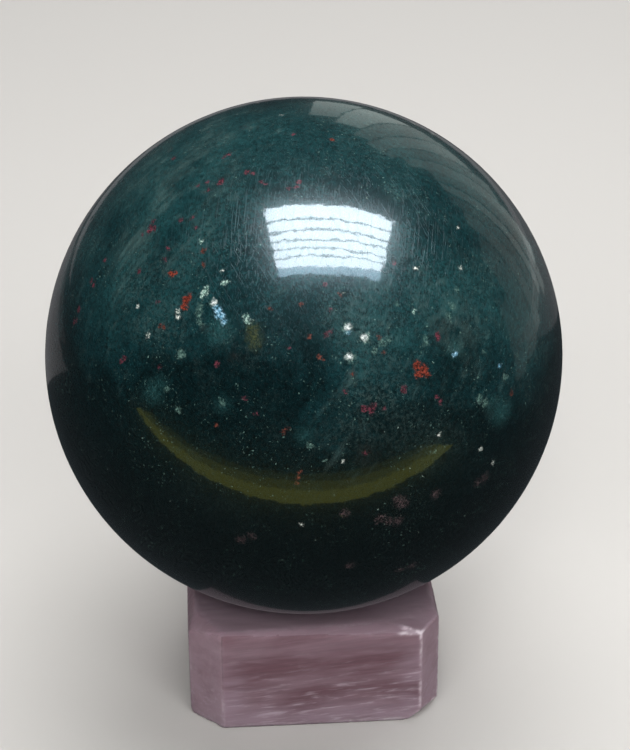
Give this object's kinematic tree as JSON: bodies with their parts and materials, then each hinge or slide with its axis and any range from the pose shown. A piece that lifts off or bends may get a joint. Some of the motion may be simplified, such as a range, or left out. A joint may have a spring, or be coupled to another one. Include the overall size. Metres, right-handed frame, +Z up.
{
  "type": "polished stone sphere on a block stand",
  "caption": "Polished dark green jasper sphere with red flecks, resting in the ground seat of a small white selenite block stand.",
  "frame": {"origin": "on the surface that the stand rests on, straight below the sphere's centre", "axes": "+Z up, through the sphere's centre; +X along the stand's fibres, to the right in the picture; -Y towards the camera"},
  "size_m": [0.07, 0.07, 0.0845],
  "materials": {
    "polished_jasper": "polished",
    "satin_spar_selenite": "satin"
  },
  "bodies": {
    "root": {"jasper_sphere": "polished_jasper", "selenite_stand": "satin_spar_selenite"}
  },
  "joints": []
}
